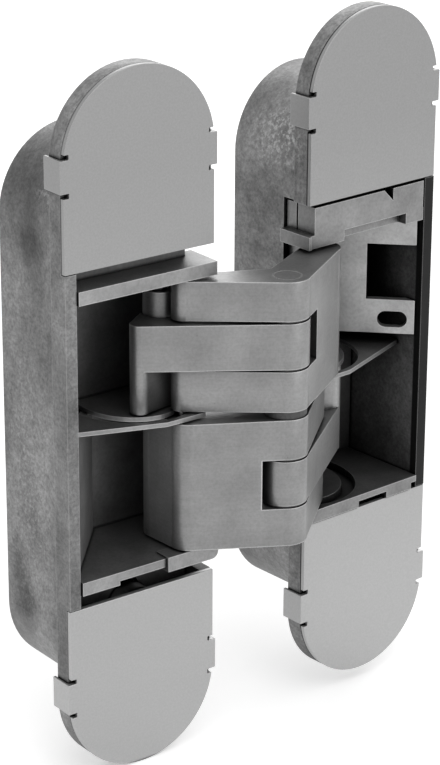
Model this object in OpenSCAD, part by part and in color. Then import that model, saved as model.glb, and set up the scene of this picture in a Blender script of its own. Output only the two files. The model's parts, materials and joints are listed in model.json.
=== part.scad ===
// Concealed door hinge with two die-cast casings, adjustable inserts and a pair of crossing
// arm castings on one centre pin. Modelled opened a little past straight.
// Frame: millimetres, origin at the middle of the fixing holes of the left flange, on the back
// of that flange where it seats, X to the right casing, Y into the depth, Z up. The modules
// measure depth from the cover fronts, and the whole part is then set back on its seat.

/* [Casings] */
// width of the flange and of the cover plates
flange_width = 30; // [29.6:0.1:30.6]
// full height of the flange
flange_height = 125; // [122:0.5:130]
// thickness of the flange behind the cover plates
flange_thickness = 3.15; // [2.6:0.05:3.6]
// thickness of the cover plates
cover_thickness = 1.0; // [0.8:0.05:1.2]
// depth of the casing from the cover front to its back
casing_depth = 20.3; // [20.1:0.1:22]
// overhang of the flange past the cast box on each side
side_overhang = 0.7; // [0.5:0.05:0.9]
// overhang of the flange past the cast box at each end
end_overhang = 13; // [12.6:0.1:13.4]
// thickness of the back wall
back_wall = 1.6; // [1.2:0.1:1.7]
// thickness of the outer side wall
outer_wall = 1.5; // [1.3:0.05:1.6]
// thickness of the inner side wall beside the arms
inner_wall = 1.1; // [1.0:0.05:1.2]
// thickness of the end walls of the box
end_wall = 2; // [1.8:0.1:2.2]
// depth to which the inner side wall is cut away for the arms
wall_cut_depth = 7.4; // [7.2:0.1:7.8]

/* [Fixing holes] */
// diameter of the countersunk fixing holes in the flange
fixing_hole = 4.8; // [4.2:0.1:5.2]
// diameter of the countersink at the front of a fixing hole
fixing_sink = 8.6; // [7.6:0.1:9]
// spacing of the two holes across the flange
fixing_across = 13; // [11:0.5:14]
// distance of the holes from the end of the flange
fixing_end = 9; // [8.8:0.1:9.4]

/* [Cover clips] */
// height of a side clip along the edge of the cover
clip_height = 5.6; // [4.5:0.1:7]
// distance from the rounded end of a cover down to the middle of its clips
clip_inset = 1.3; // [0.8:0.1:3]
// thickness of a clip lying over the edge of the flange
clip_thickness = 0.55; // [0.4:0.05:0.8]

/* [Opening] */
// angle the hinge stands open past straight
over_angle = 4; // [3.6:0.1:4.4]
// distance between the two casing centres when open
centre_distance = 51.04; // [50.8:0.02:51.4]
// gap between the two cover fronts when closed
closed_gap = 3.6; // [3.4:0.1:3.8]
// height of the right casing above the left one, set by the height adjustment
height_offset = 2.3; // [1.8:0.1:2.4]
// height of the middle of the arms, measured from the middle of the left casing
arm_middle = -0.3; // [-0.4:0.05:-0.1]

/* [Arms] */
// gap between the barrel on the arm pivot and the inner side wall
barrel_gap = 0.2; // [0.15:0.05:0.3]
// depth of the arm pivot behind the cover front
pivot_depth = 8.6; // [8.4:0.05:8.8]
// distance the centre pin stands in front of the covers when open
centre_out = 6.2; // [6.0:0.05:6.4]
// radius of the round knuckles on the centre pin
knuckle_radius = 4.0; // [3.8:0.05:4.1]
// radius of the barrel on the arm pivot
barrel_radius = 3.0; // [2.8:0.05:3.05]
// distance of the tail pin in front of the arm pivot when open
tail_ahead = 5.6; // [5.5:0.05:5.7]
// distance of the tail pin outward of the arm pivot when open
tail_outward = 0.8; // [0.7:0.05:0.9]
// radius of the rounded arm ends round the tail pins
tail_radius = 2.1; // [2.0:0.05:2.2]
// height of an outer tail fork as a share of the whole stack
outer_fork_share = 0.146; // [0.14:0.002:0.15]
// height of an inner tail fork as a share of the whole stack
inner_fork_share = 0.152; // [0.146:0.002:0.154]
// height of the free gap between two knuckles
level_gap = 0.4; // [0.35:0.05:0.5]

/* [Pins] */
// diameter of the centre pin
centre_pin = 4.8; // [4.2:0.1:5]
// diameter of the arm pivot pins
pivot_pin = 3.2; // [3:0.1:3.4]
// diameter of the tail pins
tail_pin = 2.2; // [2:0.1:2.3]
// radial clearance of a pin that turns in its bore
running_clearance = 0.05; // [0.03:0.01:0.1]
// radial clearance of a tail pin in its curved groove
groove_clearance = 0.2; // [0.15:0.01:0.25]

/* [Insert] */
// thickness of the two outer shelves
shelf_thickness = 2.4; // [2.2:0.1:2.5]
// gap between the stack of arms and an outer shelf
shelf_gap = 0.6; // [0.5:0.05:0.7]
// thickness of the thin middle shelf
middle_shelf = 0.8; // [0.7:0.05:0.9]
// gap between the middle shelf and the arms above and below it
middle_gap = 0.3; // [0.25:0.05:0.35]
// distance of an insert screw from the end of the cavity
screw_inset = 13.5; // [13.3:0.1:13.7]
// distance of an insert screw from the outside of the next shelf
screw_to_shelf = 7; // [6.9:0.05:7.2]
// thread diameter of the insert screws
screw_size = 4.8; // [4.4:0.1:5]
// gap between an insert and the end of a cover plate after the height adjustment
insert_gap = 0.2; // [0.15:0.05:0.3]
// thickness of the sloping guide plates
guide_plate = 1.5; // [1.3:0.05:1.7]

/* [Hidden] */
$fn = 48;
round_fn = 96;
eps = 0.01;
half_width = flange_width / 2;
half_height = flange_height / 2;
end_centre = half_height - half_width;
half_box = half_width - side_overhang;
box_width = 2 * half_box;
box_height = flange_height - 2 * end_overhang;
cavity_left = half_box - outer_wall;
cavity_right = half_box - inner_wall;
cavity_height = box_height - 2 * end_wall;
cavity_back = casing_depth - back_wall;
seat_depth = cover_thickness + flange_thickness;
fixing_along = flange_height - 2 * fixing_end;
half_over = over_angle / 2;

// heights follow one another inward: flange, box, insert screws, insert, stack of arms
screw_spacing = cavity_height - 2 * screw_inset;
insert_height = screw_spacing - 2 * screw_to_shelf;
stack_height = insert_height - 2 * (shelf_thickness + shelf_gap);
opening_height = insert_height + 2 * (height_offset - arm_middle + insert_gap);
half_open = opening_height / 2;

// the centre pin lies on the mirror plane between the two casings
mirror_distance = centre_distance / 2;
centre_x = (mirror_distance + centre_out * sin(half_over)) / cos(half_over);
centre = [centre_x, -centre_out];
pivot = [cavity_right - barrel_radius - barrel_gap, pivot_depth];
tail = pivot + [tail_outward, -tail_ahead];
right_shift = [centre_distance * cos(half_over), centre_distance * sin(half_over)];

// fold of the arms: the pivot arm turns by pivot_turn while the casings turn by full_turn
arm_reach = norm(centre - pivot);
full_turn = 180 + over_angle;
closed_rise = pivot_depth + closed_gap / 2;
closed_angle = 180 + asin(closed_rise / arm_reach);
open_angle = 360 + atan2(centre[1] - pivot[1], centre[0] - pivot[0]);
pivot_turn = open_angle - closed_angle;
crossing_turn = full_turn - pivot_turn;

// levels of the stack, from its lower end upward, as seen on the left arm
low = arm_middle - stack_height / 2;
high = arm_middle + stack_height / 2;
inner_gap = middle_shelf + 2 * middle_gap;
outer_fork_height = outer_fork_share * stack_height;
inner_fork_height = inner_fork_share * stack_height;
finger_height = (stack_height - inner_gap) / 2 - outer_fork_height - inner_fork_height
    - 2 * level_gap;
outer_top = low + outer_fork_height;
finger_low_bottom = outer_top + level_gap;
finger_low_top = finger_low_bottom + finger_height;
inner_bottom = finger_low_top + level_gap;
inner_top = inner_bottom + inner_fork_height;
finger_bottom = 2 * arm_middle - finger_low_top;
finger_top = 2 * arm_middle - finger_low_bottom;
column_rest = 3;
column_top = high - column_rest;

// insert: edges, levels and depths
insert_side = 0.2;
insert_rest = 0.1;
insert_left_edge = insert_side - cavity_left;
insert_right_edge = cavity_right - insert_side;
insert_back = cavity_back - insert_rest;
back_plate = 1.0;
back_plate_front = insert_back - back_plate;
shelf_low = low - shelf_gap - shelf_thickness;
shelf_high = high + shelf_gap;
shelf_top = shelf_high + shelf_thickness;
shelf_front = -0.4;
middle_low = arm_middle - middle_shelf / 2;
ear_reach = half_width + 0.4;
ear_depth = wall_cut_depth - 0.3;
groove_depth = 1.5;
pin_play = groove_depth - 0.3;

// feet of an arm casting: the heel in front of its pivot, the smaller heel under the finger,
// and the end of the finger behind the pivot, which stays clear of the insert's back plate
heel = pivot + [0.7, -7.2];
heel_radius = 3.3;
finger_heel = pivot + [0.2, -6];
finger_heel_radius = 2.6;
finger_radius = 1.7;
finger_clearance = 0.4;
finger_reach = back_plate_front - pivot_depth - finger_radius - finger_clearance;
finger_direction = 204;
finger_end = pivot + finger_reach * [cos(finger_direction), sin(finger_direction)];
window_gap = 2;
window_radius = knuckle_radius + window_gap;

// Sets the back of the left flange, where it seats, at y = 0
module seated() {
    translate([0, -seat_depth, 0])
        children();
}

// Round-cornered strip standing upright
module upright_slot(width, height, y0, y1) {
    r = width / 2;
    for (s = [-1, 1])
        translate([0, y0, s * (height / 2 - r)])
            rotate([-90, 0, 0])
                cylinder(r = r, h = y1 - y0, $fn = round_fn);
    translate([-r, y0, -(height / 2 - r)])
        cube([width, y1 - y0, height - width]);
}

// Moves a part of the left side to the right casing, turned over
module across() {
    translate([right_shift[0], right_shift[1], 2 * arm_middle])
        rotate([0, 0, over_angle])
            rotate([0, 180, 0])
                children();
}

// Places a casing part at the right casing, which the height adjustment holds higher
module at_right_casing() {
    translate([right_shift[0], right_shift[1], height_offset])
        rotate([0, 0, over_angle])
            rotate([0, 180, 0])
                children();
}

// Places a shape in the right casing with its own X and Z left as they are
module in_right_casing() {
    translate([right_shift[0], right_shift[1], 0])
        rotate([0, 0, over_angle])
            children();
}

// One die-cast casing with flange, box, cavity, screw bosses and fixing holes
module casing() {
    boss_wall = 2;
    boss_radius = screw_size / 2 + boss_wall;
    boss_front = slide_back + 0.4;
    rim_gap = 0.1;
    thread_rest = 0.8;
    difference() {
        union() {
            upright_slot(flange_width, flange_height, cover_thickness, seat_depth);
            upright_slot(box_width, box_height, seat_depth - eps, casing_depth);
            translate([-half_width, 0, rim_gap - half_open])
                cube([half_width, cover_thickness + eps, opening_height - 2 * rim_gap]);
        }
        difference() {
            casing_cavity();
            for (s = [-1, 1])
                translate([0, boss_front, s * screw_spacing / 2])
                    rotate([-90, 0, 0])
                        cylinder(r = boss_radius, h = casing_depth);
        }
        inner_wall_cut();
        for (s = [-1, 1])
            translate([0, boss_front - 1, s * screw_spacing / 2])
                rotate([-90, 0, 0])
                    cylinder(r = screw_size / 2, h = cavity_back + thread_rest - boss_front);
        fixing_holes();
    }
}

// Space inside the box, open to the front and wider beside the insert
module casing_cavity() {
    upright_slot(2 * cavity_left, cavity_height, -1, cavity_back);
    translate([0, -1, -half_open])
        cube([cavity_right, cavity_back + 1, opening_height]);
}

// The inner side of flange and wall is cut away between the covers so that the arms pass
module inner_wall_cut() {
    translate([0, -1, -half_open])
        cube([half_width + 1, wall_cut_depth + 1, opening_height]);
}

module fixing_holes() {
    sink_depth = (fixing_sink - fixing_hole) / 2;
    for (sx = [-1, 1])
        for (sz = [-1, 1])
            translate([sx * fixing_across / 2, 0, sz * fixing_along / 2])
                rotate([-90, 0, 0]) {
                    cylinder(r = fixing_hole / 2, h = casing_depth);
                    translate([0, 0, cover_thickness])
                        cylinder(r1 = fixing_sink / 2, r2 = fixing_hole / 2, h = sink_depth);
                    cylinder(r = fixing_sink / 2, h = cover_thickness + eps);
                }
}

// Snap-on cover plate; side +1 is the upper one
module cover(side) {
    nick = 0.8;
    nick_depth = 1.1;
    past = 1;
    clip_z = end_centre - clip_inset;
    mirror([0, 0, side > 0 ? 0 : 1]) {
        difference() {
            union() {
                translate([0, 0, end_centre])
                    rotate([-90, 0, 0])
                        cylinder(r = half_width, h = cover_thickness, $fn = round_fn);
                translate([-half_width, 0, half_open])
                    cube([flange_width, cover_thickness, end_centre - half_open]);
            }
            for (sx = [-1, 1])
                for (z = [clip_z - clip_height / 2 - nick, clip_z + clip_height / 2])
                    translate([sx * half_width - nick_depth, -past, z])
                        cube([2 * nick_depth, cover_thickness + 2 * past, nick]);
        }
        for (m = [0, 1])
            mirror([m, 0, 0])
                translate([half_width, 0, clip_z - clip_height / 2])
                    clip();
    }
}

// Clip on the right edge of a cover, bent round the edge of the flange
module clip() {
    edge_gap = 0.05;
    root = 0.5;
    wrap = 0.6;
    translate([edge_gap, 0, 0])
        cube([clip_thickness, seat_depth + wrap, clip_height]);
    translate([-root, 0, 0])
        cube([root + edge_gap + clip_thickness / 2, cover_thickness, clip_height]);
}

// Straight-sided strap between two circles in plan, c1 with radius r1 to c2 with radius r2;
// its flanks end just inside the circles so that they cross them cleanly
module strap(c1, r1, c2, r2, z0, z1) {
    flank_inset = 0.05;
    d = norm(c2 - c1);
    a = atan2(c2[1] - c1[1], c2[0] - c1[0]);
    t = acos((r1 - r2) / d);
    u = [cos(a + t), sin(a + t)];
    v = [cos(a - t), sin(a - t)];
    f1 = r1 - flank_inset;
    f2 = r2 - flank_inset;
    translate([0, 0, z0])
        linear_extrude(z1 - z0)
            polygon([c1 + f1 * u, c1 + f1 * v, c2 + f2 * v, c2 + f2 * u]);
    translate([c1[0], c1[1], z0])
        cylinder(r = r1, h = z1 - z0);
    translate([c2[0], c2[1], z0])
        cylinder(r = r2, h = z1 - z0);
}

// Point of the left side mirrored to the right side in plan
function mirrored(p) =
    let (n = [cos(half_over), sin(half_over)])
    p + 2 * (mirror_distance - p * n) * n;

// Arm casting pivoted in the left casing; the right one is the same casting turned over
module arm_casting() {
    far_tail = mirrored(tail);
    bore_height = stack_height + 2;
    difference() {
        union() {
            strap(heel, heel_radius, centre, knuckle_radius, low, inner_top);
            strap(pivot, barrel_radius, heel, heel_radius, low, inner_top);
            strap(finger_end, finger_radius, centre, knuckle_radius, finger_bottom, finger_top);
            strap(finger_end, finger_radius, pivot, barrel_radius,
                  arm_middle + inner_gap / 2, finger_top);
            strap(finger_heel, finger_heel_radius, pivot, barrel_radius,
                  finger_bottom, finger_top);
            translate([pivot[0], pivot[1], low])
                cylinder(r = barrel_radius, h = column_top - low);
            strap(far_tail, tail_radius, centre, knuckle_radius, low, outer_top);
            strap(far_tail, tail_radius, centre, knuckle_radius, inner_bottom, inner_top);
        }
        translate([centre[0], centre[1], outer_top])
            cylinder(r = window_radius, h = inner_bottom - outer_top);
        translate([centre[0], centre[1], low - 1])
            cylinder(r = centre_pin / 2 + running_clearance, h = bore_height);
        translate([pivot[0], pivot[1], low - 1])
            cylinder(r = pivot_pin / 2 + running_clearance, h = bore_height);
        translate([far_tail[0], far_tail[1], low - 1])
            cylinder(r = tail_pin / 2, h = inner_top - low + 2);
    }
}

// Path of the tail pin in the insert while the hinge folds, f from 0 closed to 1 open
function turned(p, a) = [p[0] * cos(a) - p[1] * sin(a), p[0] * sin(a) + p[1] * cos(a)];
function centre_at(f) = pivot + turned(centre - pivot, -(1 - f) * pivot_turn);
function tail_at(f) = centre_at(f) + turned(tail - centre, -(1 - f) * crossing_turn);
function track_side(f, w) =
    let (
        a = tail_at(f - 0.01),
        b = tail_at(f + 0.01),
        t = (b - a) / norm(b - a)
    )
    tail_at(f) + w * [-t[1], t[0]];

// Curved band along the path of the tail pin, half its width on each side, with round ends
module track(half_band, z0, z1) {
    steps = 20;
    side_a = [for (i = [0:steps]) track_side(i / steps, half_band)];
    side_b = [for (i = [steps:-1:0]) track_side(i / steps, -half_band)];
    translate([0, 0, z0])
        linear_extrude(z1 - z0)
            polygon(concat(side_a, side_b));
    for (f = [0, 1])
        translate([tail_at(f)[0], tail_at(f)[1], z0])
            cylinder(r = half_band, h = z1 - z0);
}

// Groove in which a tail pin runs
groove_half = tail_pin / 2 + groove_clearance;

// One outer shelf of the insert, from its front edge to the back plate
module shelf(z0, z1) {
    translate([insert_left_edge, shelf_front, z0])
        cube([insert_right_edge - insert_left_edge, insert_back - shelf_front, z1 - z0]);
}

// Ear at the inner end of an outer shelf, which passes over the cut side wall
module ear(z0, z1) {
    translate([insert_right_edge - eps, shelf_front, z0])
        cube([ear_reach - insert_right_edge, ear_depth - shelf_front, z1 - z0]);
}

// Thin middle shelf: its front edge is level beside the arm and then slopes back to the
// outer wall, just in front of the groove of the middle tail pin
module middle_plate() {
    bend = 5;
    edge_slope = 0.34;
    edge_left = shelf_front + edge_slope * (bend - insert_left_edge);
    translate([0, 0, middle_low])
        linear_extrude(middle_shelf)
            polygon([
                [insert_right_edge, shelf_front],
                [insert_right_edge, insert_back],
                [insert_left_edge, insert_back],
                [insert_left_edge, edge_left],
                [bend, shelf_front]
            ]);
}

slide_front = 5;
slide_back = 11.6;
slide_radius = 7;
slide_slot = 2.9;
slide_centre = screw_spacing / 2 + 1.4;

// End block of the insert, held by one screw through a slot that allows the height
// adjustment; a low wall joins it to the shelf over the whole width
module slide_block() {
    wall_height = 7;
    translate([0, slide_front, arm_middle + slide_centre])
        rotate([-90, 0, 0])
            cylinder(r = slide_radius, h = slide_back - slide_front);
    translate([-slide_radius, slide_front, shelf_high])
        cube([2 * slide_radius, slide_back - slide_front,
              arm_middle + slide_centre - shelf_high]);
    translate([insert_left_edge, slide_front, shelf_high])
        cube([-2 * insert_left_edge, slide_back - slide_front, wall_height]);
}

module slide_cut() {
    r = screw_size / 2 + 0.25;
    cut_depth = slide_back - slide_front + 2;
    for (s = [-1, 1])
        translate([0, slide_front - 1, arm_middle + screw_spacing / 2 + s * slide_slot])
            rotate([-90, 0, 0])
                cylinder(r = r, h = cut_depth);
    translate([-r, slide_front - 1, arm_middle + screw_spacing / 2 - slide_slot])
        cube([2 * r, cut_depth, 2 * slide_slot]);
}

// Adjustable insert that carries the arm pivot and guides the tail pins of the other arm
module insert() {
    barrel_hole = barrel_radius + 0.3;
    difference() {
        union() {
            shelf(shelf_high, shelf_top);
            shelf(shelf_low, shelf_low + shelf_thickness);
            middle_plate();
            translate([insert_left_edge, back_plate_front, shelf_low])
                cube([insert_right_edge - insert_left_edge, back_plate, insert_height]);
            ear(shelf_high, shelf_top);
            ear(shelf_low, shelf_low + shelf_thickness);
            slide_block();
            turned_over()
                slide_block();
        }
        slide_cut();
        turned_over()
            slide_cut();
        translate([pivot[0], pivot[1], shelf_low - 1])
            cylinder(r = pivot_pin / 2, h = insert_height + 2);
        translate([pivot[0], pivot[1], middle_low - 1])
            cylinder(r = barrel_hole, h = middle_shelf + 2);
        track(groove_half, shelf_high - 1, shelf_high + groove_depth);
        track(groove_half, middle_low - 1, middle_low + middle_shelf + 1);
        guide_body(guide_seat_gap);
    }
}

// Mirrors a shape about the middle height of the arms
module turned_over() {
    translate([0, 0, 2 * arm_middle])
        mirror([0, 0, 1])
            children();
}

// Left insert: the lower shelf is thinner in the middle of its front edge and ends in a
// rounded nose beside the arm
module insert_with_nose() {
    nose_left = 4.7;
    nose_front = -1.0;
    nose_back = 2.5;
    nose_radius = (shelf_thickness + 0.3) / 2;
    relief_left = -5;
    relief_height = 0.8;
    relief_depth = 1.6;
    difference() {
        insert();
        translate([relief_left, shelf_front - 1, shelf_low - eps])
            cube([nose_left - relief_left, relief_depth + 1, relief_height + eps]);
    }
    translate([nose_left, nose_front, shelf_low])
        cube([ear_reach - nose_radius - nose_left, nose_back - nose_front, 2 * nose_radius]);
    translate([ear_reach - nose_radius, nose_front, shelf_low + nose_radius])
        rotate([-90, 0, 0])
            cylinder(r = nose_radius, h = nose_back - nose_front);
}

// Front frame on the upper shelf of the right insert, filling the room below the cover
frame_left = 1.2 - half_width;
frame_right = -insert_left_edge - 0.1;
frame_block = 7.1;
frame_step = frame_left + frame_block;
frame_step_height = 2;
frame_gap = 0.5;
frame_lip = 2.4;
module front_frame() {
    seam_depth = 4.3;
    seam = 0.35;
    nick_right = 5;
    nick_width = 2.2;
    z0 = shelf_high;
    z1 = height_offset + half_open - frame_gap;
    difference() {
        union() {
            translate([frame_left, 0, z0])
                cube([frame_step - frame_left, ear_depth, z1 - z0]);
            translate([frame_step - eps, 0, z0 + frame_step_height])
                cube([frame_right - frame_step + eps, frame_lip, z1 - z0 - frame_step_height]);
        }
        translate([frame_left - eps, seam_depth, z0 - 1])
            cube([seam + eps, seam, z1 - z0 + 2]);
        translate([0, frame_lip + 1, 0])
            rotate([90, 0, 0])
                linear_extrude(frame_lip + 2)
                    polygon([
                        [nick_right, z1 + 1],
                        [nick_right - nick_width, z1 + 1],
                        [nick_right - nick_width, z1],
                        [nick_right, z1 - nick_width]
                    ]);
    }
}

// Right insert: turned over, with the front frame above and a slot and a notch in the front
// edge of its lower shelf
module insert_with_frame() {
    slot_left = -2;
    slot_width = 7;
    slot_height = 1.2;
    notch_width = 1.3;
    recess = 1.8;
    lower = 2 * arm_middle - shelf_top;
    difference() {
        across()
            insert();
        in_right_casing() {
            translate([slot_left, shelf_front - 1, lower - eps])
                cube([slot_width, recess + 1, slot_height + eps]);
            translate([-insert_left_edge - notch_width, shelf_front - 1, lower - eps])
                cube([notch_width + 1, recess + 1, slot_height + eps]);
            translate([frame_step, shelf_front - 1, shelf_high - 1])
                cube([half_width, recess - shelf_front + 1 - eps, frame_step_height + 1 + eps]);
            translate([frame_left - 1, shelf_front - 1, shelf_high - 1])
                cube([half_width * 2, 1 - shelf_front, shelf_thickness + 2]);
        }
    }
    in_right_casing()
        front_frame();
}

// Line of the sloping guide plate, just behind the face the arm shows when folded away
guide_rest = 0.4;
guide_run = 14.2;
guide_front = 1.8;
guide_near = [insert_left_edge + guide_rest, guide_front];
guide_far = [insert_left_edge + guide_run, back_plate_front - guide_rest];
guide_length = norm(guide_far - guide_near);
guide_angle = atan2(guide_far[1] - guide_near[1], guide_far[0] - guide_near[0]);
guide_seat_gap = 0.05;
guide_tongue = 0.8;
guide_low = shelf_low + shelf_thickness - guide_tongue;
guide_high = middle_low - 0.1;

// Guide plate standing in a groove of the lower shelf, cut flush at the insert's edge
module guide_body(grow) {
    intersection() {
        translate([guide_near[0], guide_near[1], guide_low - grow])
            rotate([0, 0, guide_angle])
                translate([-guide_plate, -grow, 0])
                    cube([guide_length + guide_plate + grow, guide_plate + 2 * grow,
                          guide_high - guide_low + grow]);
        translate([insert_left_edge - (grow > 0 ? 1 : 0), 0, guide_low - 1])
            cube([half_width * 2, casing_depth, guide_high - guide_low + 2]);
    }
}

// Right guide plate with a tall window open to the side and a tab with a slotted hole; its
// sizes are shares of the plate's height
module guide_windowed() {
    span = guide_high - guide_low;
    foot = 0.08 * span;
    window_low = 0.34 * span;
    window_height = 0.42 * span;
    window_width = 8.3;
    slot_z = 0.19 * span;
    slot_from = 2.3;
    slot_to = 4.7;
    slot_radius = 1.5;
    cut = guide_plate + 2;
    difference() {
        guide_body(0);
        translate([guide_near[0], guide_near[1], guide_high])
            rotate([0, 0, guide_angle]) {
                translate([-guide_plate - 1, -1, -foot])
                    cube([guide_length + guide_plate + 2, cut, foot + 1]);
                translate([-guide_plate - 1, -1, -window_low - window_height])
                    cube([window_width + guide_plate + 1, cut, window_height]);
                for (x = [slot_from, slot_to])
                    translate([x, -1, -slot_z])
                        rotate([-90, 0, 0])
                            cylinder(r = slot_radius, h = cut);
                translate([slot_from, -1, -slot_z - slot_radius])
                    cube([slot_to - slot_from, cut, 2 * slot_radius]);
            }
    }
}

// Pivot pin of the arm, pressed into the two outer shelves
module arm_pivot_pin() {
    end_rest = 0.3;
    translate([pivot[0], pivot[1], shelf_low + end_rest])
        cylinder(r = pivot_pin / 2, h = insert_height - 2 * end_rest);
}

// Two short pins in the forks of the other arm that run in the grooves of the insert
module tail_pins() {
    fork_low = 2 * arm_middle - inner_top;
    fork_high = 2 * arm_middle - inner_bottom;
    fork_outer = 2 * arm_middle - outer_top;
    translate([tail[0], tail[1], fork_outer])
        cylinder(r = tail_pin / 2, h = shelf_high + pin_play - fork_outer);
    translate([tail[0], tail[1], middle_low])
        cylinder(r = tail_pin / 2, h = fork_high - middle_low);
}

// Centre pin through all six knuckles
module middle_pin() {
    translate([centre[0], centre[1], low])
        cylinder(r = centre_pin / 2, h = stack_height);
}

// Flat washers between the knuckles, each a little thinner than its gap
module washers() {
    play = 0.05;
    gaps = [
        [outer_top, level_gap],
        [finger_low_top, level_gap],
        [inner_top, inner_gap],
        [finger_bottom - level_gap, level_gap],
        [finger_top, level_gap]
    ];
    for (g = gaps)
        translate([centre[0], centre[1], g[0] + play])
            difference() {
                cylinder(r = knuckle_radius - 0.3, h = g[1] - 2 * play);
                translate([0, 0, -1])
                    cylinder(r = centre_pin / 2 + running_clearance, h = g[1] + 2);
            }
}

// Screw with a hexagon socket that clamps one end of the insert to the casing
module insert_screw() {
    head_radius = 4.1;
    head_height = 3.2;
    socket_radius = 2.3;
    socket_depth = 2;
    head_front = slide_front - head_height;
    rotate([-90, 0, 0])
        difference() {
            union() {
                translate([0, 0, head_front])
                    cylinder(r = head_radius, h = head_height);
                translate([0, 0, slide_front - eps])
                    cylinder(r = screw_size / 2, h = cavity_back - slide_front - 0.6);
            }
            translate([0, 0, head_front - 1])
                cylinder(r = socket_radius, h = socket_depth + 1, $fn = 6);
        }
}

module insert_screws() {
    for (s = [-1, 1])
        translate([0, 0, s * screw_spacing / 2])
            insert_screw();
}

cast = [0.55, 0.55, 0.53];
satin = [0.68, 0.68, 0.67];
smooth = [0.6, 0.6, 0.6];
steel = [0.75, 0.75, 0.76];

module casing_left() color(cast) seated() casing();
module casing_right() color(cast) seated() at_right_casing() casing();
module cover_left_upper() color(satin) seated() cover(1);
module cover_left_lower() color(satin) seated() cover(-1);
module cover_right_upper() color(satin) seated() at_right_casing() cover(-1);
module cover_right_lower() color(satin) seated() at_right_casing() cover(1);
module insert_left() color(smooth) seated() insert_with_nose();
module insert_right() color(smooth) seated() insert_with_frame();
module guide_plate_left() color(smooth) seated() guide_body(0);
module guide_plate_right() color(smooth) seated() across() guide_windowed();
module arm_left() color(satin) seated() arm_casting();
module arm_right() color(satin) seated() across() arm_casting();
module centre_hinge_pin() color(steel) seated() middle_pin();
module knuckle_washers() color(steel) seated() washers();
module pivot_pin_left() color(steel) seated() arm_pivot_pin();
module pivot_pin_right() color(steel) seated() across() arm_pivot_pin();
module tail_pins_left() color(steel) seated() tail_pins();
module tail_pins_right() color(steel) seated() across() tail_pins();
module insert_screws_left() color(steel) seated() insert_screws();
module insert_screws_right() color(steel) seated() at_right_casing() insert_screws();

casing_left();
casing_right();
cover_left_upper();
cover_left_lower();
cover_right_upper();
cover_right_lower();
insert_left();
insert_right();
guide_plate_left();
guide_plate_right();
arm_left();
arm_right();
centre_hinge_pin();
knuckle_washers();
pivot_pin_left();
pivot_pin_right();
tail_pins_left();
tail_pins_right();
insert_screws_left();
insert_screws_right();
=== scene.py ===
# %% [markdown]
# # A concealed door hinge in satin die-cast zinc
# The CAD model gives every casting of the hinge at its true size. This lesson leaves those
# forms as they are and gives them what a drawing has not: broken edges, a cast or lacquered
# skin, and the small marks that show how each piece was made. Lengths are written in
# millimetres and become Blender's metres where they are used.

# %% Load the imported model
import bpy
import json
import numpy as np
from mathutils import Matrix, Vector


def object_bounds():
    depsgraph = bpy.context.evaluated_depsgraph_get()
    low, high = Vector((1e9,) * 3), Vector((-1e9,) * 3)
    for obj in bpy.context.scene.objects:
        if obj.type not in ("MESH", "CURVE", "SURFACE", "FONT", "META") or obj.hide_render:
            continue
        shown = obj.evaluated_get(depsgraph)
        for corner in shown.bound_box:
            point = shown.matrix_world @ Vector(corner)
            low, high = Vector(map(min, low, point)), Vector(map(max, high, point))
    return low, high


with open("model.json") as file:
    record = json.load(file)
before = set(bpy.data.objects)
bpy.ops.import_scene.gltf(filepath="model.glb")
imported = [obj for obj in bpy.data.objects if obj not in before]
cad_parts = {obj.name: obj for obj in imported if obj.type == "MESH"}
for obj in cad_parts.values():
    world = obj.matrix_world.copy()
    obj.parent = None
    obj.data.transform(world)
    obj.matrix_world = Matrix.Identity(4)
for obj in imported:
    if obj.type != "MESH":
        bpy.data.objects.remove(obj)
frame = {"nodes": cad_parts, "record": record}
cad_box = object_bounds()
nodes = frame["nodes"]

# %% [markdown]
# ## The camera
# A long lens from the left and a little above sees the fronts of both casings at once. Its
# place can be found by eye, by moving it until edges line up, or worked out from points that
# are known on the object. It was worked out, so here it is only written down.

# %% Camera at the viewing angle of the photograph
MM = 0.001
IMAGE_HEIGHT = 765
FOCAL_PIXELS = 2695.385
SENSOR_MM = 36.0
NEAREST, FARTHEST = 0.01, 20.0
EYE = np.array([-242.893, -346.322, 166.765]) * MM
TO_RIGHT = np.array([0.798134525, -0.602461277, 0.004657245])
TO_TOP = np.array([0.209376075, 0.284611024, 0.935498917])
BACKWARD = np.array([-0.564927376, -0.745678868, 0.353298862])


def placed(to_right, to_top, backward, place):
    """Matrix of an object: its three axes and its place, in metres, side by side."""
    turn = np.eye(4)
    turn[:3, :] = np.column_stack([to_right, to_top, backward, place])
    return Matrix(turn.tolist())


camera_data = bpy.data.cameras.new("photo_camera")
camera_data.sensor_width = SENSOR_MM
camera_data.lens = FOCAL_PIXELS / IMAGE_HEIGHT * SENSOR_MM
camera_data.clip_start, camera_data.clip_end = NEAREST, FARTHEST
camera = bpy.data.objects.new("photo_camera", camera_data)
bpy.context.collection.objects.link(camera)
camera.matrix_world = placed(TO_RIGHT, TO_TOP, BACKWARD, EYE)
bpy.context.scene.camera = camera
print("lens", round(camera_data.lens, 2), "mm")

# %% [markdown]
# ## Colours and shader nodes
# Colours are read off as sRGB hex values, but a shader works with linear light, so one
# function turns the first into the second. Another adds a shader node with its settings,
# links and colour stops, and hands back one output. Nodes could be wired by hand in the
# editor, but written like this each material reads as a short list of what it is made of.

# %% Colour and node helpers
SHARE, BELOW, ABOVE = 0, 6, 7  # a Mix node's inputs for two colours
LAID_OVER = {"data_type": "RGBA", "blend_type": "MIX", "out": 2}
MULTIPLIED = {"data_type": "RGBA", "blend_type": "MULTIPLY", "out": 2}


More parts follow.
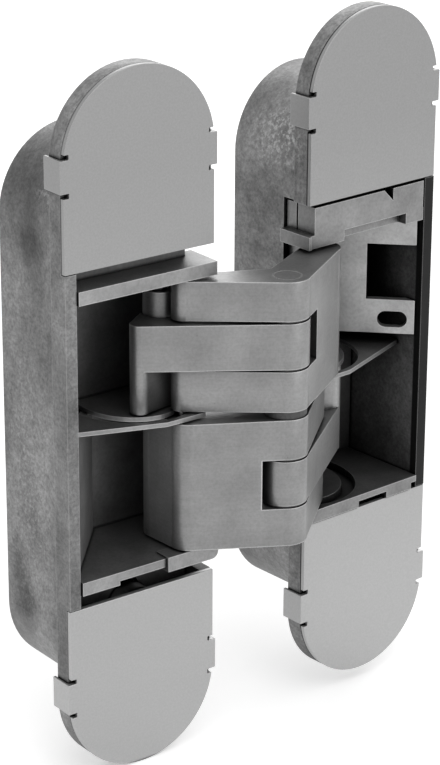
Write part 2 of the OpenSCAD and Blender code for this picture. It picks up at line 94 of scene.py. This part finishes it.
def linear(hex_value):
    """sRGB hex to linear RGBA: c / 12.92 below 0.04045, else ((c + 0.055) / 1.055) ** 2.4."""
    c = np.array([int(hex_value[i:i + 2], 16) for i in (1, 3, 5)]) / 255
    lin = np.where(c <= 0.04045, c / 12.92, ((c + 0.055) / 1.055) ** 2.4)
    return (*map(float, lin), 1.0)


def connect(tree, node, links):
    """Joins each input, by name or number, to a socket, or sets it to a plain value."""
    for key, value in links.items():
        if isinstance(value, bpy.types.NodeSocket):
            tree.links.new(value, node.inputs[key])
        else:
            node.inputs[key].default_value = value


def add(tree, kind, links, out=0, stops=(), **settings):
    """Adds a node and gives back one output; stops are a ramp's (position, hex) pairs."""
    made = tree.nodes.new(kind)
    for key, value in settings.items():
        setattr(made, key, value)
    if stops:
        line = made.color_ramp.elements
        while len(line) < len(stops):
            line.new(0.5)
        for element, (position, colour) in zip(line, stops):
            element.position = position
            element.color = linear(colour)
    connect(tree, made, links)
    return made.outputs[out]


print("middle grey #808080 is", round(linear("#808080")[0], 3), "in linear light")

# %% [markdown]
# ## Patterns of a metal skin
# Nearly every piece is zinc or steel, yet no two look alike, because the eye reads the skin:
# clouds of oxide, fine grain, and bright edges, a painted highlight for the light that rounded
# edges catch. Such marks could be painted by hand. Noise with a size in millimetres gives the
# first two at their true scale instead, and a bevelled normal compared with the true one finds
# each edge, so that the painted highlight follows the shape by itself.

# %% Noise, mottling and painted edge highlights
EDGE_SAMPLES = 6
SAME_NORMAL, EDGE_NORMAL = 0.995, 0.86


def noise_mm(tree, size, detail, rough, stretch=(1, 1, 1)):
    """Noise from 0 to 1 whose patches are size mm across on the piece, with a stretch."""
    place = add(tree, "ShaderNodeTexCoord", {}, "Object")
    scaled = add(tree, "ShaderNodeMapping", {"Vector": place, "Scale": stretch})
    return add(tree, "ShaderNodeTexNoise",
               {"Vector": scaled, "Scale": 1 / MM / size, "Detail": detail,
                "Roughness": rough}, "Fac")


def mottled(tree, colour, share, noise, low, dark, high):
    """Multiplies colour by a ramp over noise: dark at low, white at high, by a share."""
    tint = add(tree, "ShaderNodeValToRGB", {"Fac": noise},
               stops=[(low, dark), (high, "#ffffff")])
    return add(tree, "ShaderNodeMix", {SHARE: share, BELOW: colour, ABOVE: tint}, **MULTIPLIED)


def highlit(tree, colour, width, share, bright):
    """Painted highlight on edges: where a normal rounded over width mm leaves the true one."""
    rounded = add(tree, "ShaderNodeBevel", {"Radius": width * MM}, samples=EDGE_SAMPLES)
    true = add(tree, "ShaderNodeNewGeometry", {}, "Normal")
    alike = add(tree, "ShaderNodeVectorMath", {0: rounded, 1: true}, "Value",
                operation="DOT_PRODUCT")
    edge = add(tree, "ShaderNodeMapRange", {"Value": alike, "From Min": SAME_NORMAL,
                                            "From Max": EDGE_NORMAL, "To Max": share})
    return add(tree, "ShaderNodeMix", {SHARE: edge, BELOW: colour, ABOVE: linear(bright)},
               **LAID_OVER)


def relief(tree, *layers):
    """Normal of a relief in layers, lowest first: a height from 0 to 1 and its depth in mm."""
    below = {}
    for height, depth in layers:
        surface = add(tree, "ShaderNodeBump",
                      {"Height": height, "Distance": depth * MM, "Strength": 1.0, **below})
        below = {"Normal": surface}
    return surface


def bare_skin(name):
    """A new material with its tree and shader."""
    skin = bpy.data.materials.new(name)
    skin.use_nodes = True
    return skin, skin.node_tree, skin.node_tree.nodes["Principled BSDF"]


print("edges count as rubbed from", round(float(np.degrees(np.arccos(SAME_NORMAL)))),
      "to", round(float(np.degrees(np.arccos(EDGE_NORMAL)))), "degrees of turn")

# %% [markdown]
# ### Painted shade in recesses and seams
# The hollows of both casings look dark, and a dark line runs along every seam, where shade
# falls. Here that shade is painted into the colour. An occlusion node measures how shut in a
# point is, which is cheaper than painting a mask and works on every piece alike: once with a
# reach of 8 to 18 mm for the hollows, and once with 0.6 mm for the seams, and the colour is
# multiplied down by it.

# %% Painted shade in recesses and seams
OCCLUSION_SAMPLES = 8
HOLLOW_OPENNESS = (0.2, 0.8)
SEAM_MM = 0.6
SEAM_OPENNESS = (0.55, 0.95)
SEAM_DARKEST = 0.08


def shaded(tree, colour, grey_value):
    """Multiplies a colour by a grey value from 0 to 1."""
    grey = add(tree, "ShaderNodeCombineColor", {0: grey_value, 1: grey_value, 2: grey_value})
    return add(tree, "ShaderNodeMix", {SHARE: 1.0, BELOW: colour, ABOVE: grey}, **MULTIPLIED)


def painted_occlusion_shade(tree, colour, reach, openness, darkest):
    """Painted shade: colour times darkest where a point is most shut in, rising to 1 in the
    open.
    """
    shut_in, open_at = openness
    seen = add(tree, "ShaderNodeAmbientOcclusion", {"Distance": reach * MM}, "AO",
               samples=OCCLUSION_SAMPLES)
    return shaded(tree, colour, add(tree, "ShaderNodeMapRange",
                                    {"Value": seen, "From Min": shut_in, "From Max": open_at,
                                     "To Min": darkest, "To Max": 1.0}))


def painted_hollow_and_seam_shade(tree, colour, reach, darkest):
    """Painted shade: hollows within reach mm go dark, then the seams within SEAM_MM."""
    hollow = painted_occlusion_shade(tree, colour, reach, HOLLOW_OPENNESS, darkest)
    return painted_occlusion_shade(tree, hollow, SEAM_MM, SEAM_OPENNESS, SEAM_DARKEST)


print("seams are dark within", SEAM_MM, "mm")

# %% [markdown]
# ### Places told from a flange
# Some marks lie at a known depth behind the front face of a flange. The right casing stands
# 4 degrees open past straight, so such places are hard to give in the hinge's own axes. A
# mask could be painted on each piece. A mapping that turns the place into the flange's axes
# needs no painting and serves both casings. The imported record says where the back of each
# flange seats and which way it faces, and the front lies one thickness before that.

# %% Axes of the two flanges
FLANGE_THICKNESS = 3.15
mounts = {mount["name"]: mount for mount in frame["record"]["mounts"]}


def flange_front(side):
    """Place of a flange's front in metres, and its turn about the upright in radians."""
    back = mounts[side + "_flange_back"]
    behind = np.array(back["axis"])
    x, y, _ = np.array(back["pos_m"]) - behind * FLANGE_THICKNESS * MM
    return (x, y, 0), np.arctan2(-behind[0], behind[1])


fronts = [flange_front("left"), flange_front("right")]
between_casings = sum(place[0] for place, _ in fronts) / 2


def on_right_casing(tree):
    """1 right of the middle between the casings, 0 left of it."""
    place = add(tree, "ShaderNodeTexCoord", {}, "Object")
    across = add(tree, "ShaderNodeSeparateXYZ", {0: place}, "X")
    return add(tree, "ShaderNodeMath", {0: across, 1: between_casings},
               operation="GREATER_THAN")


def by_casing(tree, values):
    """The left value on the left casing, the right value on the right one."""
    return add(tree, "ShaderNodeMapRange",
               {"Value": on_right_casing(tree), "To Min": values["left"],
                "To Max": values["right"]})


def from_flange(tree):
    """Place in the axes of its own flange: X across it, Y behind its front, Z upward."""
    place = add(tree, "ShaderNodeTexCoord", {}, "Object")
    left, right = (add(tree, "ShaderNodeMapping",
                       {"Vector": place, "Location": front, "Rotation": (0, 0, turn)},
                       vector_type="TEXTURE")
                   for front, turn in fronts)
    return add(tree, "ShaderNodeMix",
               {SHARE: on_right_casing(tree), BELOW: left, ABOVE: right}, **LAID_OVER)


for (x, y, _), turn in fronts:
    print("flange front at", round(x / MM, 2), round(y / MM, 2), "mm, turned",
          round(float(np.degrees(turn)), 1), "degrees")

# %% [markdown]
# ### Tumbled die-cast zinc of the casings
# The two casings come out of the die, are tumbled and left bare. Clouds of oxide some 14 mm
# wide run along the walls, with a mottling of 2 mm in them. The grain of 0.3 mm is too fine
# to show at this distance, so it is drawn at 0.6 mm. Some marks belong to this very hinge:
# dark stains near both ends of the left wall, and on the right one a pale patch where the
# skin is etched. They could come from noise alone, but then they would lie anywhere. Each is
# placed where the photograph shows it, and noise makes its rim ragged.

# %% Stains and etched patches: middle and reach in mm, and share
DARK_STAINS = [
    ((-14.3, 7.0, 33.0), (8.0, 4.0, 6.0), 0.75),
    ((-14.3, 9.0, 44.0), (8.0, 10.0, 13.0), 0.70),
    ((-14.3, 12.5, -27.0), (8.0, 3.0, 6.0), 0.60),
    ((-14.3, 10.5, -34.0), (8.0, 4.0, 6.0), 0.75),
    ((36.0, 10.0, 31.0), (8.0, 8.0, 6.0), 0.10),
    ((36.0, 8.0, 21.0), (8.0, 9.0, 2.5), 0.25),
]
ETCHED_PATCHES = [
    ((36.0, 6.0, 42.5), (8.0, 9.0, 6.5), 0.75),
    ((-14.3, 3.0, 42.0), (8.0, 4.0, 4.0), 0.50),
    ((-14.3, 9.0, -10.0), (8.0, 9.0, 26.0), 0.30),
]
SPOT_INSIDE, SPOT_OUTSIDE = 0.8, 1.7


def spot(tree, middle, reach, ragged):
    """Distance from middle in reaches, plus ragged: 1 up to SPOT_INSIDE, 0 at SPOT_OUTSIDE."""
    place = add(tree, "ShaderNodeTexCoord", {}, "Object")
    offset = add(tree, "ShaderNodeVectorMath",
                 {0: place, 1: tuple(v * MM for v in middle)}, operation="SUBTRACT")
    scaled = add(tree, "ShaderNodeVectorMath",
                 {0: offset, 1: tuple(v * MM for v in reach)}, operation="DIVIDE")
    length = add(tree, "ShaderNodeVectorMath", {0: scaled}, "Value", operation="LENGTH")
    rim = add(tree, "ShaderNodeMath", {0: length, 1: ragged}, operation="ADD")
    return add(tree, "ShaderNodeMapRange",
               {"Value": rim, "From Min": SPOT_OUTSIDE, "From Max": SPOT_INSIDE})


def marked(tree, colour, marks, tone, ragged, flecks=1.0):
    """Lays tone over colour at each mark, by its spot times its share times the flecks."""
    for middle, reach, share in marks:
        strength = add(tree, "ShaderNodeMath", {0: flecks, 1: share}, operation="MULTIPLY")
        mask = add(tree, "ShaderNodeMath",
                   {0: spot(tree, middle, reach, ragged), 1: strength}, operation="MULTIPLY")
        colour = add(tree, "ShaderNodeMix",
                     {SHARE: mask, BELOW: colour, ABOVE: linear(tone)}, **LAID_OVER)
    return colour


print(len(DARK_STAINS), "stains,", len(ETCHED_PATCHES), "etched patches")

# %% [markdown]
# The front edge of the right casing's outer wall looks nearly black, as the hollow beside it
# does, for the inner face of that wall lies in shade; here the edge gets a painted shade. The
# left casing's hollows get only a dark grey painted shade. Both are masks in one skin.

# %% Painted shade on the front edge of the right outer wall
OUTER_WALL_MM = (12.0, 12.3)
WALL_FRONT_MM = (0.7, 0.4)
HOLLOW_SHADE = {"left": 0.40, "right": 0.04}


def shaded_wall_front(tree):
    """Mask of the painted shade: 1 on the front of the right outer wall, fading over 0.3 mm to
    0.
    """
    mask = on_right_casing(tree)
    for axis, (off, full) in (("X", OUTER_WALL_MM), ("Y", WALL_FRONT_MM)):
        place = add(tree, "ShaderNodeSeparateXYZ", {0: from_flange(tree)}, axis)
        near = add(tree, "ShaderNodeMapRange",
                   {"Value": place, "From Min": off * MM, "From Max": full * MM})
        mask = add(tree, "ShaderNodeMath", {0: mask, 1: near}, operation="MULTIPLY")
    return mask


print("dark from", OUTER_WALL_MM[1], "mm off the middle of the right flange")

# %% Casing metal
CLOUD_TONES = [(0.32, "#747474"), (0.46, "#8c8c8c"), (0.60, "#9d9d9d"), (0.74, "#a9a9a9")]
FLECK_NOISE = (0.50, 0.62)
CASING_ROUGHNESS = (0.45, 0.65)


def tumbled_zinc():
    """Clouds, stains, mottling, grain, flecks, painted edge highlights and painted shade."""
    skin, tree, shader = bare_skin("tumbled_die_cast_zinc")
    clouds = noise_mm(tree, 14.0, detail=2.5, rough=0.5, stretch=(1.2, 1.2, 0.8))
    mottling = noise_mm(tree, 2.0, detail=3.0, rough=0.6)
    grain = noise_mm(tree, 0.6, detail=3.0, rough=0.7)
    ragged = noise_mm(tree, 5.0, detail=4.0, rough=0.65)
    flecks = add(tree, "ShaderNodeMapRange",
                 {"Value": noise_mm(tree, 0.8, detail=4.0, rough=0.7),
                  "From Min": FLECK_NOISE[0], "From Max": FLECK_NOISE[1]})
    colour = add(tree, "ShaderNodeValToRGB", {"Fac": clouds}, stops=CLOUD_TONES)
    colour = marked(tree, colour, DARK_STAINS, "#4a4a4a", ragged)
    colour = mottled(tree, colour, 0.6, mottling, low=0.34, dark="#c4c4c4", high=0.66)
    colour = mottled(tree, colour, 0.7, grain, low=0.34, dark="#b4b4b4", high=0.64)
    colour = marked(tree, colour, ETCHED_PATCHES, "#bcbcbc", ragged, flecks)
    # Painted shade: the front edge of the right outer wall goes near black.
    colour = add(tree, "ShaderNodeMix",
                 {SHARE: shaded_wall_front(tree), BELOW: colour, ABOVE: linear("#242424")},
                 **LAID_OVER)
    # Painted highlight along the edges.
    colour = highlit(tree, colour, width=0.3, share=0.35, bright="#b8b8b8")
    # Painted shade in hollows and seams, near black in the right casing.
    colour = painted_hollow_and_seam_shade(tree, colour, reach=18, darkest=by_casing(tree, HOLLOW_SHADE))
    swell = noise_mm(tree, 6.0, detail=2.0, rough=0.5)
    roughness = add(tree, "ShaderNodeMapRange", {"Value": clouds, "To Min": CASING_ROUGHNESS[0],
                                                 "To Max": CASING_ROUGHNESS[1]})
    connect(tree, shader, {"Base Color": colour,
                           "Normal": relief(tree, (swell, 0.3), (grain, 0.03)),
                           "Roughness": roughness, "Metallic": 0.85})
    return skin


skins = {"casing": tumbled_zinc()}
print("casing skin:", len(skins["casing"].node_tree.nodes), "nodes")

# %% [markdown]
# ### Painted shade of the hairline under the covers
# A cover plate only snaps on, so a hairline stays open where its edge meets the flange. It
# shows faint on the left casing and black on the right one, as the slit lies in shade. A real
# slit would have to be cut in CAD. Here the last third of a millimetre of the cover's edge gets
# a painted shade instead, but not the clips, which stand further out than the plate.

# %% Painted shade along the foot of a cover's edge
COVER_HALF_WIDTH, PAST_THE_PLATE = 15.0, 0.03
HAIRLINE_FROM, HAIRLINE_FULL = -0.36, -0.24
HAIRLINE_SHADE = {"left": 0.50, "right": 0.08}


def hairline_shaded(tree, colour):
    """Painted shade: dark where the depth behind the cover's face nears the flange, off the
    clips.
    """
    across = add(tree, "ShaderNodeSeparateXYZ", {0: from_flange(tree)}, "X")
    depth = add(tree, "ShaderNodeSeparateXYZ", {0: from_flange(tree)}, "Y")
    gap = add(tree, "ShaderNodeMapRange",
              {"Value": depth, "From Min": HAIRLINE_FROM * MM, "From Max": HAIRLINE_FULL * MM,
               "To Min": 1.0, "To Max": by_casing(tree, HAIRLINE_SHADE)})
    off_middle = add(tree, "ShaderNodeMath", {0: across}, operation="ABSOLUTE")
    clip = add(tree, "ShaderNodeMath",
               {0: off_middle, 1: (COVER_HALF_WIDTH + PAST_THE_PLATE) * MM},
               operation="GREATER_THAN")
    return shaded(tree, colour,
                  add(tree, "ShaderNodeMath", {0: gap, 1: clip}, operation="MAXIMUM"))


print("hairline", round(HAIRLINE_FULL - HAIRLINE_FROM, 2), "mm soft, shade", HAIRLINE_SHADE)

# %% [markdown]
# ### Satin covers
# The cover plates are stamped zinc, brushed and lacquered in satin silver. From this
# distance they are even, with a grain of 0.15 mm, here drawn at 0.35 mm. The two lower covers
# look a little paler, as they reflect a brighter surround; that is a painted reflection, a tone
# that grows paler slowly towards the bottom, which keeps them one finish instead of two.

# %% Cover metal
COVER_HEIGHTS_MM = (-45.0, 45.0)
COVER_TONES_AND_PAINTED_LIGHT = [(0.0, "#afafaf"), (1.0, "#959595")]


def satin_cover():
    """Silver painted paler below for reflected light, grain, painted edge highlights and shade.
    """
    skin, tree, shader = bare_skin("satin_lacquered_zinc")
    place = add(tree, "ShaderNodeTexCoord", {}, "Object")
    height = add(tree, "ShaderNodeSeparateXYZ", {0: place}, "Z")
    share = add(tree, "ShaderNodeMapRange",
                {"Value": height, "From Min": COVER_HEIGHTS_MM[0] * MM,
                 "From Max": COVER_HEIGHTS_MM[1] * MM})
    grain = noise_mm(tree, 0.35, detail=2.0, rough=0.6)
    # Painted reflection: the tone grows paler towards the bottom.
    colour = add(tree, "ShaderNodeValToRGB", {"Fac": share}, stops=COVER_TONES_AND_PAINTED_LIGHT)
    colour = mottled(tree, colour, 0.4, grain, low=0.35, dark="#e8e8e8", high=0.65)
    # Painted highlight along the edges.
    colour = highlit(tree, colour, width=0.15, share=0.5, bright="#c8c8c8")
    # Painted shade in the seams.
    colour = painted_occlusion_shade(tree, colour, SEAM_MM, SEAM_OPENNESS, SEAM_DARKEST)
    # Painted shade along the hairline under the cover's edge.
    connect(tree, shader, {"Base Color": hairline_shaded(tree, colour),
                           "Normal": relief(tree, (grain, 0.006)),
                           "Roughness": 0.42, "Metallic": 0.8})
    return skin


skins["cover"] = satin_cover()
print("cover skin:", len(skins["cover"].node_tree.nodes), "nodes")

# %% [markdown]
# ### Satin arms
# The arms are cast like the casings, then ground level and plated satin nickel. That leaves a
# soft orange peel some 2 mm wide, faint level grinding lines and a few dark specks. An
# anisotropic shader could draw the lines as gloss alone. At this distance they show as tone,
# so they are noise of 0.35 mm stretched twentyfold along the level.

# %% Arm metal
ARM_TONES = [(0.32, "#878787"), (0.55, "#919191"), (0.74, "#9a9a9a")]
ALONG_THE_LEVEL = (0.05, 0.05, 1.0)


def satin_arm():
    """Patches, grain, grinding lines, specks, painted edge highlights, painted shade, orange
    peel.
    """
    skin, tree, shader = bare_skin("satin_plated_zinc_arm")
    patches = noise_mm(tree, 9.0, detail=2.0, rough=0.5)
    grain = noise_mm(tree, 0.5, detail=3.0, rough=0.65)
    lines = noise_mm(tree, 0.35, detail=2.0, rough=0.6, stretch=ALONG_THE_LEVEL)
    specks = noise_mm(tree, 0.8, detail=1.0, rough=0.5)
    colour = add(tree, "ShaderNodeValToRGB", {"Fac": patches}, stops=ARM_TONES)
    colour = mottled(tree, colour, 0.4, grain, low=0.32, dark="#d4d4d4", high=0.62)
    colour = mottled(tree, colour, 0.2, lines, low=0.35, dark="#dcdcdc", high=0.65)
    colour = mottled(tree, colour, 0.4, specks, low=0.17, dark="#6a6a6a", high=0.22)
    # Painted highlight along the edges.
    colour = highlit(tree, colour, width=0.35, share=1.0, bright="#cecece")
    # Painted shade in hollows and seams.
    colour = painted_hollow_and_seam_shade(tree, colour, reach=8, darkest=0.30)
    peel = noise_mm(tree, 2.0, detail=2.0, rough=0.5)
    connect(tree, shader, {"Base Color": colour,
                           "Normal": relief(tree, (peel, 0.06), (grain, 0.012)),
                           "Roughness": 0.4, "Metallic": 0.8})
    return skin


skins["arm"] = satin_arm()
print("arm skin:", len(skins["arm"].node_tree.nodes), "nodes")

# %% [markdown]
# ### Bare inserts and guide plates
# The inserts sit out of sight, so they are only deburred and smoother than the casings. The
# right one is a little darker, and its hollows get a near-black painted shade. The guide plates
# are worn by the arms that slide past them, so they are paler, with little painted shade deep
# inside. All are the same bare zinc, so one function makes the three, and no node is written
# twice.

# %% Insert and guide metal
DEBURRED = ("#828282", "#909090", "#9c9c9c")
DARKER_TONES = ("#787878", "#868686", "#929292")
RUBBED = ("#a4a4a4", "#b2b2b2", "#c0c0c0")
TONE_PLACES = (0.30, 0.52, 0.74)


def bare_zinc(name, tones, reach, darkest):
    """Smooth bare zinc, painted edge highlights, painted shade in hollows down to darkest."""
    skin, tree, shader = bare_skin(name)
    patches = noise_mm(tree, 8.0, detail=2.0, rough=0.55)
    grain = noise_mm(tree, 0.6, detail=3.0, rough=0.65)
    colour = add(tree, "ShaderNodeValToRGB", {"Fac": patches},
                 stops=list(zip(TONE_PLACES, tones)))
    colour = mottled(tree, colour, 0.45, grain, low=0.32, dark="#cccccc", high=0.62)
    # Painted highlight along the edges.
    colour = highlit(tree, colour, width=0.3, share=0.8, bright="#c4c4c4")
    # Painted shade in hollows and seams, down to darkest.
    connect(tree, shader, {"Base Color": painted_hollow_and_seam_shade(tree, colour, reach, darkest),
                           "Normal": relief(tree, (grain, 0.015)),
                           "Roughness": 0.42, "Metallic": 0.85})
    return skin


skins["insert_left"] = bare_zinc("deburred_die_cast_zinc", DEBURRED, reach=14, darkest=0.50)
# The right insert is a little darker, with near-black painted shade in its hollows.
skins["insert_right"] = bare_zinc("die_cast_zinc_dark_shade", DARKER_TONES, reach=15, darkest=0.04)
skins["guide"] = bare_zinc("rubbed_die_cast_zinc", RUBBED, reach=10, darkest=0.80)
print("bare zinc:", [skins[key].name for key in ("insert_left", "insert_right", "guide")])

# %% [markdown]
# ### Turned steel and bearing plastic
# Pivot pins, tail pins and screws are turned and polished, so they are the brightest metal,
# with rings from the lathe. The washers between the knuckles are a dark bearing plastic,
# which needs no oil. Both hardly show, so plain noise is enough: rings as noise that changes
# six times faster along the pin, and the plastic as a soft grain.

# %% Pin metal and washer plastic
RING_STRETCH = (1, 1, 6)


def turned_steel():
    """Bright steel with rings round the pin, and painted shade in hollows and seams."""
    skin, tree, shader = bare_skin("turned_steel")
    rings = noise_mm(tree, 0.8, detail=2.0, rough=0.5, stretch=RING_STRETCH)
    colour = add(tree, "ShaderNodeValToRGB", {"Fac": rings},
                 stops=[(0.3, "#a8a8a8"), (0.7, "#bebebe")])
    # Painted shade in hollows and seams.
    connect(tree, shader, {"Base Color": painted_hollow_and_seam_shade(tree, colour, reach=8, darkest=0.3),
                           "Normal": relief(tree, (rings, 0.01)),
                           "Roughness": 0.28, "Metallic": 1.0})
    return skin


def bearing_plastic():
    """Dark grey plastic with a soft grain."""
    skin, tree, shader = bare_skin("dark_bearing_plastic")
    grain = noise_mm(tree, 0.5, detail=2.0, rough=0.5)
    tone = add(tree, "ShaderNodeValToRGB", {"Fac": grain},
               stops=[(0.35, "#3c3c3c"), (0.65, "#484848")])
    connect(tree, shader, {"Base Color": tone, "Roughness": 0.55})
    return skin


skins["steel"] = turned_steel()
skins["washer"] = bearing_plastic()
print("skins:", sorted(skins))

# %% [markdown]
# ## Which piece wears which skin
# A node of the CAD model is named for its piece, so the start of its name tells its finish.
# Slots could be filled one by one, but a table is easier to check. The centre pin is flush
# with the arms and plated like them, so that only a faint ring shows.

# %% Give each node its skin
FINISHES = {
    "casing": "casing", "cover": "cover", "arm": "arm", "centre_hinge_pin": "arm",
    "insert_left": "insert_left", "insert_right": "insert_right", "guide_plate": "guide",
    "knuckle_washers": "washer", "insert_screws": "steel", "pivot_pin": "steel",
    "tail_pins": "steel",
}
for name, piece in nodes.items():
    skin = next(skins[kind] for start, kind in FINISHES.items() if name.startswith(start))
    if not piece.material_slots:
        piece.data.materials.append(None)
    for slot in piece.material_slots:
        slot.material = skin
    print(name, "->", skin.name)

# %% [markdown]
# ## Broken edges
# No cast or stamped edge is knife sharp. The edges could be cut in CAD, but a live bevel
# does it here without touching the drawing: the loose triangles are welded, flat areas are
# joined into whole faces, and each edge sharper than 30 degrees gets a small round.

# %% Weld, join and bevel
EDGE_MM = {"casing": 0.35, "cover": 0.12, "arm": 0.6, "insert": 0.35, "guide": 0.2}
WELD_MM = 0.002
FLAT_DEGREES = 0.5
SHARP_DEGREES = 30
ROUND_STEPS = 2


def broken_edges(piece, width):
    """Live modifiers: weld the triangles, join flat faces, then round the sharp edges."""
    weld = piece.modifiers.new("weld", "WELD")
    weld.merge_threshold = WELD_MM * MM
    flat = piece.modifiers.new("flat_faces", "DECIMATE")
    flat.decimate_type = "DISSOLVE"
    flat.angle_limit = np.radians(FLAT_DEGREES)
    round_off = piece.modifiers.new("round_edges", "BEVEL")
    round_off.width = width * MM
    round_off.segments = ROUND_STEPS
    round_off.limit_method = "ANGLE"
    round_off.angle_limit = np.radians(SHARP_DEGREES)
    round_off.miter_outer = "MITER_ARC"
    round_off.use_clamp_overlap = True


edged_pieces = [name for name in nodes
                if name.split("_")[0] in EDGE_MM and not name.startswith("insert_screws")]
for name in edged_pieces:
    broken_edges(nodes[name], EDGE_MM[name.split("_")[0]])
print("edges broken on", len(edged_pieces), "pieces")

# %% [markdown]
# ## Floor
# The hinge stands upright on pale paper that runs out of sight. A real studio lights the
# paper until it is white, but that light would also fall on the metal. So the paper stays
# plain and glows only for rays that come from the camera, straight or by a reflection, and
# the hinge still throws a soft shadow on it.

# %% White paper under the hinge, 3 m to each side
LOWEST = cad_box[0][2]
FLOOR_HALF_WIDTH, FLOOR_CELLS = 3.0, 4
FLOOR_GLOW = 0.36


def floor_grid(half_width, cells):
    """Flat grid: x and y in equal steps over twice the half width, z at the lowest point."""
    steps = np.linspace(-half_width, half_width, cells + 1)
    gx, gy = np.meshgrid(steps, steps, indexing="ij")
    points = np.stack([gx, gy, np.full_like(gx, LOWEST)], -1).reshape(-1, 3)
    number = np.arange((cells + 1) ** 2).reshape(cells + 1, cells + 1)
    quads = np.stack([number[:-1, :-1], number[1:, :-1], number[1:, 1:], number[:-1, 1:]], -1)
    return points, quads.reshape(-1, 4)


def seen_ray(tree):
    """1 for a ray that comes from the camera, straight or by a reflection, otherwise 0."""
    shown = add(tree, "ShaderNodeLightPath", {}, "Is Camera Ray")
    for kind in ("Is Glossy Ray", "Is Transmission Ray"):
        other = add(tree, "ShaderNodeLightPath", {}, kind)
        shown = add(tree, "ShaderNodeMath", {0: shown, 1: other}, operation="MAXIMUM")
    return shown


floor_points, floor_quads = floor_grid(FLOOR_HALF_WIDTH, FLOOR_CELLS)
floor_mesh = bpy.data.meshes.new("studio_floor")
floor_mesh.from_pydata(floor_points.tolist(), [], floor_quads.tolist())
floor = bpy.data.objects.new("studio_floor", floor_mesh)
bpy.context.collection.objects.link(floor)
paper, paper_tree, sheet = bare_skin("white_paper")
glow = add(paper_tree, "ShaderNodeMath", {0: seen_ray(paper_tree), 1: FLOOR_GLOW},
           operation="MULTIPLY")
connect(paper_tree, sheet, {
    "Base Color": linear("#f4f4f4"), "Roughness": 0.9, "Specular IOR Level": 0.0,
    "Emission Color": (1, 1, 1, 1), "Emission Strength": glow})
floor_mesh.materials.append(paper)
print("floor at", round(LOWEST / MM, 2), "mm")

# %% [markdown]
# ## Light
# The photograph has soft light from all round. The world is one white dome at two thirds of
# full strength, and three large lamps add a little shape: one above, one at the front right,
# and one behind on the right that lights the tops. One hard lamp would be simpler, but the
# satin would go patchy. Rays from the camera see the dome as pure white.

# %% Soft dome
DOME_STRENGTH = 0.65
world = bpy.data.worlds.new("soft_dome")
bpy.context.scene.world = world
world.use_nodes = True
sky = world.node_tree
strength = add(sky, "ShaderNodeMapRange",
               {"Value": seen_ray(sky), "To Min": DOME_STRENGTH, "To Max": 1.0})
connect(sky, sky.nodes["Background"], {"Color": (1, 1, 1, 1), "Strength": strength})
print("dome strength", DOME_STRENGTH)

# %% Lamps: place in metres, width in metres, power in watts
LAMPS = {
    "lamp_above": ((-0.15, -0.35, 0.75), 0.6, 1.6),
    "lamp_front": ((0.35, -0.9, 0.25), 0.7, 1.6),
    "lamp_behind": ((0.55, 0.7, 0.55), 0.6, 3.0),
}
AIM = (0.02, 0, 0)


def soft_lamp(name, place, width, power):
    """Square area lamp whose back points away from AIM, so that it shines on the hinge."""
    data = bpy.data.lights.new(name, "AREA")
    data.size = width
    data.energy = power
    lamp = bpy.data.objects.new(name, data)
    bpy.context.collection.objects.link(lamp)
    away = np.array(place, float) - np.array(AIM, float)
    away /= np.linalg.norm(away)
    side = np.cross([0, 0, 1], away)
    side /= np.linalg.norm(side)
    lamp.matrix_world = placed(side, np.cross(away, side), away, place)


for name, (place, width, power) in LAMPS.items():
    soft_lamp(name, place, width, power)
bpy.context.scene.view_settings.view_transform = "Standard"
print("lamps:", sorted(LAMPS))

# %% [markdown]
# ## Closing the lesson
# The size of the CAD model is printed at the end.

# %% Size of the CAD model and the end
print("cad", [[round(v / MM, 2) for v in corner] for corner in cad_box])
